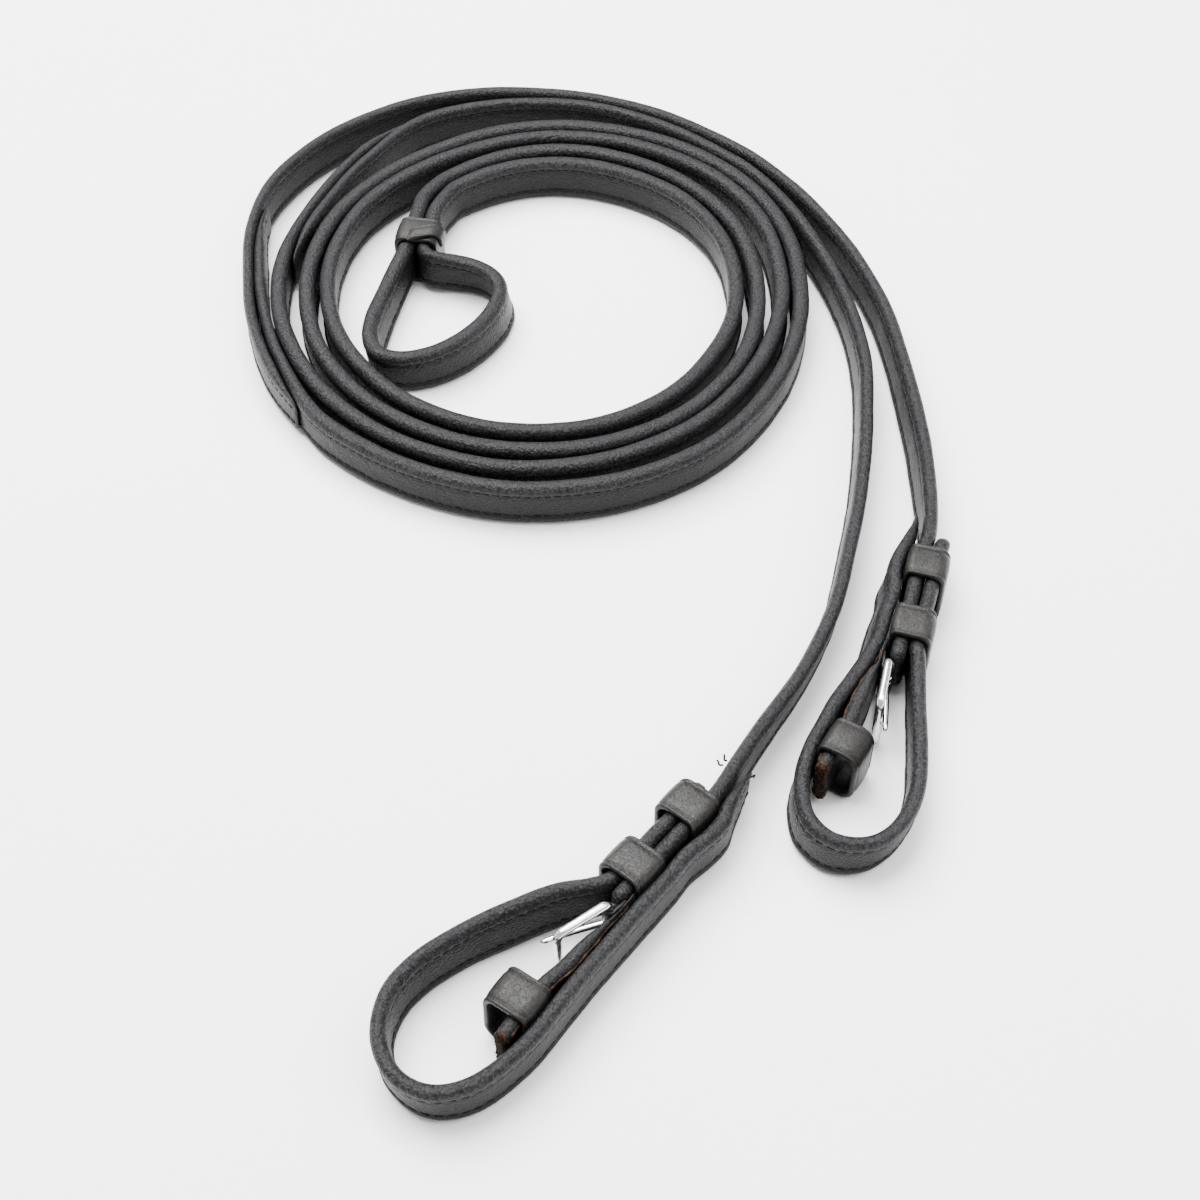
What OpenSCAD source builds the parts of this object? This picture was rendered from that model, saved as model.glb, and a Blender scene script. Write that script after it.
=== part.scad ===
// Leather reins, coiled up and standing on edge.
// Two doubled straps wound as one spiral, a hand loop with a leather slider at the
// middle, and a buckled bit loop with three keepers on each free end.
// Millimetres, +Z up, resting on the plane z = 0.

/* [Strap] */
// Height of the strap standing on edge (its nominal width, 5/8 in)
strap_w = 15.5; // [14:0.1:17]
// Thickness of the hand half of each rein
hand_t = 5.4; // [4:0.1:5.6]
// Thickness of the bit half of each rein
bit_t = 4.4; // [3.5:0.1:4.6]
// Thickness of each layer where the two halves are spliced
lap_t = 3.8; // [2.5:0.1:4]
// Gap between the two layers of a splice
lap_gap = 0.35; // [0.25:0.05:0.5]

/* [Coil] */
// Change of radius of the whole coil
coil_grow = 0; // [-0.5:0.1:2]

/* [Keepers] */
// Length of each keeper along the strap
keeper_len = 11.5; // [8:0.5:14]
// Leather thickness of a keeper
keeper_wall = 1.4; // [1:0.1:1.5]

/* [Buckles] */
// Rod thickness of the buckle frame
rod_d = 2; // [1.6:0.1:2.2]
// Length of the buckle frame from bar to end rail, centre to centre
frame_len = 16.2; // [14:0.2:18]
// Outside height of the buckle frame
frame_h = 20; // [19.8:0.1:20.6]
// Tongue thickness
tongue_d = 1.8; // [1.4:0.1:2]

/* [Slider] */
// Length of the slider band along the straps
slider_len = 11.6; // [9:0.2:13]
// Leather thickness of the slider band
slider_wall = 1.5; // [1.2:0.1:1.6]

/* [Hidden] */
$fn = 48;

leather = [0.09, 0.09, 0.1];
leather_dark = [0.07, 0.07, 0.075];
raw_edge = [0.3, 0.2, 0.14];
steel = [0.72, 0.72, 0.74];

// whole part moved so its box is centred on the origin
shift = [8.84, -33.03, 0];
// centre of the coil
hub = [-19.3, 127];
// height of the strap's lower edge inside a keeper
lift = 1.75;

// Coil radii every 30 degrees, from 60 degrees inwards (edge radius less 2.5)
right_r = [
  98.4, 103.1, 109.2, 108.2, 97.25, 94.45, 93.9, 94.7, 93.4,
  88.8, 85.9, 87.3, 86.2, 84.2, 80.4, 79.4, 78.4, 78.2,
  78.3, 78.2, 77.6, 74.6, 71.7, 71.4, 71.3, 70.2, 65.3
];
left_r = [
  93.0, 97.2, 97.8, 89.2, 87.75, 86.2, 86.0, 85.8, 83.6,
  80.6, 79.7, 81.5, 80.3, 77.9, 74.6, 73.6, 71.4, 70.4,
  70.1, 70.2, 68.6, 65.8, 64.6, 64.8, 64.0, 63.0, 59.0
];
// splice tips: the angle where the outer and the inner layer of each splice ends
right_tip_out = 217.5;
right_tip_in = 157.5;
left_tip_out = 120;
left_tip_in = 172.5;

// Route points are [x, y, lift, lean of the top edge, thickness, height share]
function q(p, t) = [for (v = p) concat(v, [t, 1])];

// free ends, from the top of the coil to the buckle
right_tail = [
  [50.2, 196.5, 0, 0],
  [60.9, 184.9, 0, 0],
  [71.3, 169.9, 0, 0],
  [80.1, 153.4, 0, 0],
  [86.9, 136, 0, 0.3],
  [91.9, 118, 0, 0.9],
  [94.8, 99.5, 0, 1.5],
  [96.4, 80, 0, 2],
  [97.6, 61, 0, 2.3],
  [97.9, 42, 0.3, 2.2],
  [98, 26, 1, 1.4],
  [97, 13, 1.7, 0.4],
  [94.3, 4.6, 1.75, 0],
  [91.1, -6.4, 1.75, 0],
  [88, -17.2, 1.75, 0],
  [84.6, -29.2, 1.75, 0],
  [83, -35, 1.75, 0]
];
left_tail = [
  [46.4, 191.9, 0, 0],
  [54.6, 182.8, 0, 0],
  [61.5, 172.8, 0, 0],
  [67.3, 161.4, 0, 0],
  [72.6, 147.8, 0, 0],
  [78, 130.2, 0, 0.4],
  [82, 111, 0, 0.9],
  [83.3, 95, 0, 1.4],
  [83, 79.4, 0, 1.8],
  [80.9, 57.3, 0, 2],
  [77.7, 36.1, 0, 2.1],
  [73.1, 14.8, 0, 2.1],
  [68.2, -5.4, 0, 2.1],
  [62.6, -21, 0, 2],
  [55.3, -36.3, 0, 1.8],
  [45.6, -52.8, 0.5, 1.4],
  [37, -68.2, 1.3, 0.6],
  [29.4, -81.9, 1.75, 0],
  [21.8, -91.2, 1.75, 0],
  [14.5, -100.1, 1.75, 0],
  [6.9, -109.3, 1.75, 0],
  [3.8, -113.1, 1.75, 0]
];

// bit loops, from the tapered tip beside the upper keeper, round the loop and back
// through both keepers to the loose tip
right_loop = concat(
  [[94.8, 22.4, 1.2, 0, 1, 0.6], [93.9, 17.6, 1.2, 0, 2, 0.85], [91.2, 11.2, 1.2, 0, 3.5, 1]],
  q([
    [86.74, 4.39, 1.2, 1.02],
    [83.3, -1.55, 1.2, 2.72],
    [81.64, -8.42, 1.2, 3.4],
    [78.45, -16.56, 1.2, 3.4],
    [76.05, -24.36, 1.2, 3.4],
    [73.5, -31.32, 1.2, 2.72],
    [69.77, -38.99, 1.2, 1.7],
    [64.65, -48.41, 1.2, 0.68],
    [61.6, -55.8, 1, 0],
    [57.5, -62.7, 0.6, 0.3],
    [53.9, -70.5, 0.2, 1],
    [52.5, -79, 0, 1.4],
    [54.1, -86.9, 0, 1],
    [59, -92.6, 0, 0.4],
    [65.5, -94.3, 0, -0.6],
    [72.6, -92, 0, -1.8],
    [79, -85.4, 0, -2.2],
    [84, -75.5, 0, -1.4],
    [86.4, -61, 0, -0.8],
    [87.9, -45.4, 0.4, -0.6],
    [89.1, -34.4, 1.2, -0.2],
    [89.5, -28.9, 1.75, 0],
    [92.5, -18.3, 1.75, 0],
    [94.2, -12.7, 1.75, 0],
    [95.7, -7.2, 1.75, 0],
    [98.95, 3.9, 1.75, 0]
  ], bit_t),
  [[100.9, 8.9, 1.75, 0, bit_t, 0.95], [102.2, 12.6, 1.75, 0, 2.6, 0.5]]
);
left_loop = concat(
  [[40.4, -71, 1.2, 0, 1, 0.55], [37, -78, 1.2, 0, 2.4, 0.85], [34.3, -83.3, 1.2, 0, 3.7, 1]],
  q([
    [32.04, -88.75, 1.2, 0],
    [28.3, -93.31, 1.2, 0],
    [22.46, -98.77, 1.2, 0],
    [17.87, -105.42, 1.2, 0],
    [12.91, -111.65, 1.2, 0],
    [6.71, -119.55, 1.2, 0],
    [0.59, -127.36, 1.2, 0],
    [-5.4, -135.4, 1.2, 0],
    [-10.2, -142.1, 1.2, 0],
    [-16.7, -150.9, 0.8, 0],
    [-24.2, -158.2, 0.3, 0.4],
    [-31.6, -162.9, 0, 0.6],
    [-39.8, -164.1, 0, 1.1],
    [-46.8, -160.7, 0, 1.7],
    [-51.4, -154.8, 0, 1.4],
    [-53.2, -147, 0, 1.2],
    [-50.7, -137.6, 0, 1.5],
    [-43.8, -129.2, 0, 1.8],
    [-33.2, -121.7, 0, 2],
    [-21.8, -115.9, 0.2, 2],
    [-10.8, -111, 0.9, 1.6],
    [-2.6, -108.8, 1.5, 0.6],
    [3.57, -105.92, 1.75, 0],
    [10.8, -97.1, 1.75, 0],
    [14.2, -92.6, 1.75, 0],
    [18, -88.3, 1.75, 0],
    [25.2, -79.5, 1.75, 0]
  ], bit_t),
  [[26.13, -77.88, 1.75, 0, bit_t, 0.95], [28.03, -75.58, 1.75, 0, 2.6, 0.5]]
);

// slider: centre and direction of the pair of straps through it
slider_at = [-61.4, 148];
slider_dir = 81.5;
// side of the pair: +1 the right rein, -1 the left rein
function in_slider(u, m) = [
  slider_at[0] + u * cos(slider_dir) - m * 2.85 * sin(slider_dir),
  slider_at[1] + u * sin(slider_dir) + m * 2.85 * cos(slider_dir),
  lift,
  0
];
right_lead = [
  [-57.5, 176.6, 0.5, 0],
  [-61, 169.4, 1.2, 0],
  in_slider(14.5, 1),
  in_slider(8, 1),
  in_slider(0.2, 1)
];
left_lead = [
  [-53.4, 170.2, 1.1, 0],
  in_slider(14.5, -1),
  in_slider(8, -1),
  in_slider(0.2, -1)
];
hand_route = concat(
  q([
    in_slider(-0.2, 1),
    in_slider(-5.6, 1),
    [-66.6, 136.5, 1.3, -0.4],
    [-68.4, 129.8, 0.7, -0.8],
    [-70.8, 119.5, 0.1, -1.3],
    [-72.5, 109.5, 0, -1.9],
    [-73.2, 101, 0, -1.8],
    [-71.4, 94.2, 0, -1.2],
    [-66.4, 90.9, 0, -0.6],
    [-60, 90.7, 0, -0.2],
    [-52.3, 93, 0, 0.3],
    [-44.7, 98.1, 0, 0.8],
    [-37.8, 105.5, 0, 1.3],
    [-33.1, 113.3, 0, 1.8],
    [-30.9, 121.3, 0, 2.6],
    [-31.9, 128.8, 0, 3.2],
    [-36, 134.6, 0, 3.4],
    [-42, 138, 0, 3.2],
    [-48.2, 139, 0.2, 2.4]
  ], hand_t),
  q([
    [-53.8, 138.6, 0.8, 1],
    [-57.4, 138.9, 1.4, 0.2],
    [-59.3, 141.4, 1.75, 0],
    in_slider(-3.5, -1),
    in_slider(-0.2, -1)
  ], 4.7)
);

// bit end frames: keeper 2 centre, direction to the loop, side of the loose strap
right_end = [88.6, -23.4, -105.8, 1];
left_end = [8.9, -103.2, -129.3, -1];
upper_at = -23.3;
// end keepers in that frame: along, across, turn
right_third = [45.6, -10.2, -15];
left_third = [47.6, -1.8, -5];
// buckle bar in that frame and the resting turn of frame and tongue
right_bar = [15.5, -4.2, 2, 9.8];
left_bar = [13.9, -3, 15, 31];
// thin end strap that carries the buckle, in the same frame
right_strip = [
  [7, -5.9, lift, 0, 0.8, 1],
  [11, -6.55, lift, 0, 0.8, 1],
  [15.5, -6.8, lift, 0, 0.9, 1],
  [20, -8.1, lift, 0, 2.8, 1],
  [26, -9.1, lift, 0, 4, 1],
  [32, -10.1, lift, 0, 4.2, 1],
  [37, -10.6, lift, 0, 4.2, 1],
  [40.9, -11.4, lift, 0, 4.2, 1],
  [44.8, -12.4, lift, 0, 4.2, 1],
  [50.5, -13.9, lift, 0, 4.2, 1],
  [54.6, -14.8, lift, 0, 3.8, 0.94]
];
left_strip = [
  [7, -5.35, lift, 0, 0.8, 1],
  [11, -5.6, lift, 0, 0.8, 1],
  [13.9, -5.65, lift, 0, 0.8, 1],
  [19, -5.1, lift, 0, 2, 1],
  [26, -4.7, lift, 0, 3.8, 1],
  [34, -4.6, lift, 0, 4.2, 1],
  [39.3, -3.9, lift, 0, 4.2, 1],
  [43.3, -3.85, lift, 0, 4.2, 1],
  [47.3, -4.15, lift, 0, 4.2, 1],
  [53.3, -4.6, lift, 0, 4.2, 1],
  [58.3, -5.1, lift, 0, 3.8, 0.94]
];

// ---- routes -------------------------------------------------------------

function pick(p, k) = k < 0 ? 2 * p[0] - p[1]
  : k >= len(p) ? 2 * p[len(p) - 1] - p[len(p) - 2]
  : p[k];
function blend4(a, b, c, d, f) = 0.5 * (2 * b + (c - a) * f
  + (2 * a - 5 * b + 4 * c - d) * f * f + (3 * b - a - 3 * c + d) * f * f * f);
function along(p, t) = let (i = min(floor(t), len(p) - 2))
  blend4(pick(p, i - 1), pick(p, i), pick(p, i + 1), pick(p, i + 2), t - i);
// smooth run through the points from index a, with n steps per span
function run(p, n, a = 0) = [for (k = [a * n : (len(p) - 1) * n]) along(p, k / n)];
function ease(x) = let (c = min(1, max(0, x))) c * c * (3 - 2 * c);

// one coil point: angle a, radius list r, side s (1 right, -1 left), outer layer or not
function coil_at(a, r, tip_out, tip_in, t_out, t_in, outer) = let (
  edge = along(r, (a - 60) / 30) + 2.5 + coil_grow,
  s = sign(tip_out - tip_in),
  so = ease((s * (tip_out - a) + 8) / 22),
  si = ease((s * (a - tip_in) + 8) / 22),
  sharp = ease(s * (a - tip_in) / 14),
  blunt = ease(s * (tip_out - a) / 14),
  to = ((t_out + lap_gap) * (1 - si) + (lap_t + lap_gap) * si) * so - lap_gap,
  ti = t_in * (1 - so) + lap_t * so,
  t = outer ? max(to, 1) : ti * (0.27 + 0.73 * sharp),
  c = outer ? edge - t / 2 : edge - max(to + lap_gap, 0) - t / 2,
  w = outer ? 0.75 + 0.25 * blunt : 0.75 + 0.25 * sharp
) [hub[0] + c * cos(a), hub[1] + c * sin(a), 0, 0, t, w];

function right_at(a, outer) =
  coil_at(a, right_r, right_tip_out, right_tip_in, bit_t, hand_t, outer);
function left_at(a, outer) =
  coil_at(a, left_r, left_tip_out, left_tip_in, hand_t, bit_t, outer);

right_hand_route = concat(
  [for (a = [right_tip_in : 7.5 : 832.5]) right_at(a, false)],
  run(concat([right_at(825, false), right_at(840, false)], q(right_lead, hand_t)), 2, 1)
);
left_hand_route = concat(
  [for (a = [left_tip_out : 7.5 : 832.5]) left_at(a, true)],
  run(concat([left_at(825, true), left_at(840, true)], q(left_lead, hand_t)), 2, 1)
);
right_bit_route = concat(
  [for (a = [right_tip_out : -7.5 : 67.5]) right_at(a, true)],
  run(concat([right_at(75, true), right_at(60, true)], q(right_tail, bit_t)), 2, 1)
);
left_bit_route = concat(
  [for (a = [left_tip_in : -7.5 : 67.5]) left_at(a, false)],
  run(concat([left_at(75, false), left_at(60, false)], q(left_tail, bit_t)), 2, 1)
);

// ---- solids -------------------------------------------------------------

// strap section: flat foot, rolled edges, slimmer stitched band between
section = [
  [-0.26, 0], [0.26, 0], [0.5, 0.11], [0.42, 0.27], [0.42, 0.73], [0.5, 0.89],
  [0.26, 1], [-0.26, 1], [-0.5, 0.89], [-0.42, 0.73], [-0.42, 0.27], [-0.5, 0.11]
];
plain = [[-0.5, 0], [0.5, 0], [0.5, 1], [-0.5, 1]];

function head(r, i) = let (
  a = r[max(i - 1, 0)],
  b = r[min(i + 1, len(r) - 1)],
  d = [b[0] - a[0], b[1] - a[1]]
) d / norm(d);
function ring(r, i, sec) = let (
  p = r[i],
  d = head(r, i),
  h = strap_w * p[5]
) [for (s = sec) let (o = s[0] * p[4] + s[1] * p[3]) [
  p[0] - d[1] * o,
  p[1] + d[0] * o,
  p[2] + (strap_w - h) / 2 + s[1] * h
]];

// solid swept along a route, side walls split into triangles
module sweep(r, sec) {
  m = len(sec);
  n = len(r);
  pts = [for (i = [0 : n - 1]) each ring(r, i, sec)];
  sides = [for (i = [0 : n - 2]) for (k = [0 : m - 1]) let (
    a = i * m + k,
    b = i * m + (k + 1) % m
  ) each [[a, b, b + m], [a, b + m, a + m]]];
  front = [for (k = [0 : m - 1]) m - 1 - k];
  back = [for (k = [0 : m - 1]) (n - 1) * m + k];
  polyhedron(points = pts, faces = concat([front], sides, [back]), convexity = 10);
}

module place() {
  translate(shift) children();
}

// bit end frame: x along the straps to the loop, y towards the loose strap
module at_end(e) {
  place() translate([e[0], e[1], 0]) rotate([0, 0, e[2]]) children();
}

// rounded rectangle ring in y-z, swept along x; thin on the -y side of the strap pair
module band(len, y0, y1, z0, z1, wall, thin, r) {
  rotate([90, 0, 90]) linear_extrude(height = len, center = true) difference() {
    rounded(y0 - thin, y1 + wall, z0 - wall, z1 + wall, r);
    rounded(y0, y1, z0, z1, 0.6);
  }
}
module rounded(a, b, c, d, r) {
  hull() {
    for (p = [[a + r, c + r], [b - r, c + r], [b - r, d - r], [a + r, d - r]]) {
      translate(p) circle(r = r, $fn = 12);
    }
  }
}

module keeper(e, s, n, turn) {
  at_end(e) translate([s, n * e[3], 0]) rotate([0, 0, turn * e[3]])
    mirrored(e[3])
      band(keeper_len, -4.8, e[3] > 0 ? 4.8 : 6, lift - 0.2, lift + strap_w + 0.6, keeper_wall, 0.95, 2.6);
}
module mirrored(side) {
  if (side > 0) {
    children();
  } else {
    mirror([0, 1, 0]) children();
  }
}

// buckle bar position: z axis on the bar, x along the frame
module at_bar(e, bar, turn) {
  at_end(e) translate([bar[0], bar[1] * e[3], 0]) rotate([0, 0, turn * e[3]]) children();
}

module buckle_frame(e, bar) {
  r = rod_d / 2;
  c = 2.4;
  z0 = 0.1 + r;
  z1 = 0.1 + frame_h - r;
  at_bar(e, bar, bar[2]) union() {
    // hinge bar and end rail
    translate([0, 0, z0 + c]) cylinder(d = rod_d, h = z1 - z0 - 2 * c);
    translate([frame_len, 0, z0 + c]) cylinder(d = rod_d, h = z1 - z0 - 2 * c);
    // top and bottom rods
    translate([c, 0, z0]) rotate([0, 90, 0]) cylinder(d = rod_d, h = frame_len - 2 * c);
    translate([c, 0, z1]) rotate([0, 90, 0]) cylinder(d = rod_d, h = frame_len - 2 * c);
    // rounded corners
    translate([c, 0, z0 + c]) corner(c, 180);
    translate([frame_len - c, 0, z0 + c]) corner(c, 270);
    translate([frame_len - c, 0, z1 - c]) corner(c, 0);
    translate([c, 0, z1 - c]) corner(c, 90);
  }
}
// quarter of a ring in the x-z plane, starting at the given angle
module corner(c, a) {
  rotate([90, 0, 0]) rotate([0, 0, a]) rotate_extrude(angle = 90)
    translate([c, 0]) circle(d = rod_d, $fn = 24);
}

mid_z = 0.1 + frame_h / 2;
hub_h = 2.8;
module buckle_tongue(e, bar) {
  at_bar(e, bar, bar[3]) union() {
    difference() {
      translate([0, 0, mid_z - hub_h / 2]) cylinder(r = rod_d / 2 + 0.8, h = hub_h);
      translate([0, 0, mid_z - hub_h]) cylinder(r = rod_d / 2 + 0.07, h = 2 * hub_h);
    }
    translate([rod_d / 2 + 0.5, 0, mid_z]) rotate([0, 90, 0])
      cylinder(d = tongue_d, h = frame_len + 1.5 - rod_d / 2 - 0.5);
    translate([frame_len + 1.5, 0, mid_z]) rotate([0, 90, 0])
      cylinder(d1 = tongue_d, d2 = 1, h = 0.9);
  }
}

// strip beside the bit loop strap, from under keeper 2 to past the end keeper
module chape_strip(e, strip) {
  far = [for (p = strip) [p[0], p[1] * e[3], p[2], p[3], p[4], p[5]]];
  at_end(e) sweep(run(far, 2), plain);
}

// two-part leather eye round the buckle bar, slotted for the tongue
eye_r = rod_d / 2 + 0.85;
module chape_fold(e, bar) {
  slot = hub_h + 0.6;
  eye_z = 0.1 + rod_d / 2 + 2.5;
  eye_h = frame_h - rod_d - 5;
  at_end(e) mirrored(e[3]) translate([bar[0], bar[1], 0]) difference() {
    union() {
      translate([0, 0, eye_z]) cylinder(r = eye_r, h = eye_h);
      // folded layers running back to the keeper
      translate([-eye_r - 1.1, -eye_r, eye_z]) cube([eye_r + 1.1, 1, eye_h]);
    }
    translate([0, 0, -1]) cylinder(r = rod_d / 2 + 0.07, h = 30);
    translate([-eye_r - 0.35, -4, mid_z - slot / 2]) cube([8, 8, slot]);
  }
}

module at_slider() {
  place() translate([slider_at[0], slider_at[1], 0]) rotate([0, 0, slider_dir]) children();
}
slider_y = 2.85 + hand_t / 2 + 0.2;
slider_top = lift + strap_w + 0.15 + slider_wall;

// tucked end of the slider leather, laid slantwise over the band's top and side
end_t = 1.1;
function end_at(u) = let (
  w = slider_y + slider_wall,
  r = 2.3,
  flat = 6.5,
  arc = 90 * 3.14159 / 180 * r,
  a = min(90, max(0, (u - flat) / arc * 90)),
  drop = max(0, u - flat - arc)
) [
  0.42 * u - 4.2,
  -(w - r - flat + min(u, flat)) - (r + 0.04) * sin(a),
  slider_top - r - drop + (r + 0.04) * cos(a),
  a
];
module slider_fold() {
  w = 3;
  u = [0, 2, 4, 6.5, 7.6, 8.8, 10.1, 12, 14];
  pts = [for (v = u) let (p = end_at(v), k = end_t) each [
    [p[0] - w, p[1], p[2]],
    [p[0] + w, p[1], p[2]],
    [p[0] + w - 0.4, p[1] - k * sin(p[3]), p[2] + k * cos(p[3])],
    [p[0] - w + 0.4, p[1] - k * sin(p[3]), p[2] + k * cos(p[3])]
  ]];
  n = len(u);
  sides = [for (i = [0 : n - 2]) for (k = [0 : 3]) let (
    a = i * 4 + k,
    b = i * 4 + (k + 1) % 4
  ) each [[a, b, b + 4], [a, b + 4, a + 4]]];
  polyhedron(
    points = pts,
    faces = concat([[3, 2, 1, 0]], sides, [[n * 4 - 4, n * 4 - 3, n * 4 - 2, n * 4 - 1]]),
    convexity = 4
  );
}

// ---- sub-parts ----------------------------------------------------------

module right_hand_strap() {
  color(leather) place() sweep(right_hand_route, section);
}
module left_hand_strap() {
  color(leather) place() sweep(left_hand_route, section);
}
module right_bit_strap() {
  color(leather_dark) place() sweep(right_bit_route, section);
}
module left_bit_strap() {
  color(leather_dark) place() sweep(left_bit_route, section);
}
module right_bit_loop() {
  color(leather) place() sweep(run(right_loop, 2), section);
}
module left_bit_loop() {
  color(leather) place() sweep(run(left_loop, 2), section);
}
module hand_loop() {
  color(leather) place() sweep(run(hand_route, 2), section);
}
module right_chape_fold() {
  color(leather_dark) chape_fold(right_end, right_bar);
}
module left_chape_fold() {
  color(leather_dark) chape_fold(left_end, left_bar);
}
module right_chape_strip() {
  color(raw_edge) chape_strip(right_end, right_strip);
}
module left_chape_strip() {
  color(raw_edge) chape_strip(left_end, left_strip);
}
module right_buckle_frame() {
  color(steel) buckle_frame(right_end, right_bar);
}
module left_buckle_frame() {
  color(steel) buckle_frame(left_end, left_bar);
}
module right_buckle_tongue() {
  color(steel) buckle_tongue(right_end, right_bar);
}
module left_buckle_tongue() {
  color(steel) buckle_tongue(left_end, left_bar);
}
module right_keeper_upper() {
  color(leather_dark) keeper(right_end, upper_at, 0, 0);
}
module right_keeper_lower() {
  color(leather_dark) keeper(right_end, 0, 0, 0);
}
module right_keeper_end() {
  color(leather_dark) keeper(right_end, right_third[0], right_third[1], right_third[2]);
}
module left_keeper_upper() {
  color(leather_dark) keeper(left_end, upper_at, 0, 0);
}
module left_keeper_lower() {
  color(leather_dark) keeper(left_end, 0, 0, 0);
}
module left_keeper_end() {
  color(leather_dark) keeper(left_end, left_third[0], left_third[1], left_third[2]);
}
module slider_band() {
  color(leather_dark) at_slider()
    band(slider_len, -slider_y, slider_y, lift - 0.15, lift + strap_w + 0.15,
      slider_wall, slider_wall, 2.3);
}
module slider_end() {
  color(leather) at_slider() slider_fold();
}

right_hand_strap();
right_bit_strap();
right_bit_loop();
right_chape_fold();
right_chape_strip();
right_buckle_frame();
right_buckle_tongue();
right_keeper_upper();
right_keeper_lower();
right_keeper_end();
left_hand_strap();
left_bit_strap();
left_bit_loop();
left_chape_fold();
left_chape_strip();
left_buckle_frame();
left_buckle_tongue();
left_keeper_upper();
left_keeper_lower();
left_keeper_end();
hand_loop();
slider_band();
slider_end();
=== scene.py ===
import math

import bpy
import numpy as np
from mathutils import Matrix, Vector


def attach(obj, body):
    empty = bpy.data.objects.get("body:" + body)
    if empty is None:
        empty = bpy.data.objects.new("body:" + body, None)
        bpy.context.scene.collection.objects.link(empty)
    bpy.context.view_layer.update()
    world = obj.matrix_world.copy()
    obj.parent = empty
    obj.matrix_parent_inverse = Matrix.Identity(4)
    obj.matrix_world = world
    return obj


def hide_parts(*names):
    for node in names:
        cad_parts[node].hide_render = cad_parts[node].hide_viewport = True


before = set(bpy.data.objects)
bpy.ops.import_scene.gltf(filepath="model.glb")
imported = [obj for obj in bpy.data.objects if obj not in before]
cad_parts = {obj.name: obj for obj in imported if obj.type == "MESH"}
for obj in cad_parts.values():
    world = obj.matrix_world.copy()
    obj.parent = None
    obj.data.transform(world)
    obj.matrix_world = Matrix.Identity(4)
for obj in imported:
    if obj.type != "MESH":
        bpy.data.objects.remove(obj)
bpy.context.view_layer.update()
scene = bpy.context.scene
MM = 0.001

# ---------------------------------------------------------------- camera
cam_data = bpy.data.cameras.new("camera")
cam_data.lens = 60
cam_data.sensor_width = 36
cam_data.clip_start = 0.01
cam = bpy.data.objects.new("camera", cam_data)
cam.location = (0.00884, -0.41483, 0.455)
cam.rotation_euler = (math.radians(40), 0, 0)
scene.collection.objects.link(cam)
scene.camera = cam

# ---------------------------------------------------------------- routes, as in the part's source, in mm
# a route point is x, y, height of the foot, sideways lean of the top, thickness, share of the full width
SHIFT = np.array([8.84, -33.03])
HUB = (-19.3, 127)
H = 15.5
LIFT = 1.75
HAND_T, BIT_T, LAP_T, LAP_GAP = 5.4, 4.4, 3.8, 0.35
RIGHT_R = [98.4, 103.1, 109.2, 108.2, 97.25, 94.45, 93.9, 94.7, 93.4,
           88.8, 85.9, 87.3, 86.2, 84.2, 80.4, 79.4, 78.4, 78.2,
           78.3, 78.2, 77.6, 74.6, 71.7, 71.4, 71.3, 70.2, 65.3]
LEFT_R = [93.0, 97.2, 97.8, 89.2, 87.75, 86.2, 86.0, 85.8, 83.6,
          80.6, 79.7, 81.5, 80.3, 77.9, 74.6, 73.6, 71.4, 70.4,
          70.1, 70.2, 68.6, 65.8, 64.6, 64.8, 64.0, 63.0, 59.0]
TIPS = {"right": (217.5, 157.5), "left": (120, 172.5)}
RIGHT_TAIL = [(50.2, 196.5, 0, 0), (60.9, 184.9, 0, 0), (71.3, 169.9, 0, 0), (80.1, 153.4, 0, 0),
              (86.9, 136, 0, 0.3), (91.9, 118, 0, 0.9), (94.8, 99.5, 0, 1.5), (96.4, 80, 0, 2),
              (97.6, 61, 0, 2.3), (97.9, 42, 0.3, 2.2), (98, 26, 1, 1.4), (97, 13, 1.7, 0.4),
              (94.3, 4.6, 1.75, 0), (91.1, -6.4, 1.75, 0), (88, -17.2, 1.75, 0),
              (84.6, -29.2, 1.75, 0), (83, -35, 1.75, 0)]
LEFT_TAIL = [(46.4, 191.9, 0, 0), (54.6, 182.8, 0, 0), (61.5, 172.8, 0, 0), (67.3, 161.4, 0, 0),
             (72.6, 147.8, 0, 0), (78, 130.2, 0, 0.4), (82, 111, 0, 0.9), (83.3, 95, 0, 1.4),
             (83, 79.4, 0, 1.8), (80.9, 57.3, 0, 2), (77.7, 36.1, 0, 2.1), (73.1, 14.8, 0, 2.1),
             (68.2, -5.4, 0, 2.1), (62.6, -21, 0, 2), (55.3, -36.3, 0, 1.8), (45.6, -52.8, 0.5, 1.4),
             (37, -68.2, 1.3, 0.6), (29.4, -81.9, 1.75, 0), (21.8, -91.2, 1.75, 0),
             (14.5, -100.1, 1.75, 0), (6.9, -109.3, 1.75, 0), (3.8, -113.1, 1.75, 0)]
RIGHT_LOOP = [(94.8, 22.4, 1.2, 0, 1, 0.6), (93.9, 17.6, 1.2, 0, 2, 0.85), (91.2, 11.2, 1.2, 0, 3.5, 1)]
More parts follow.
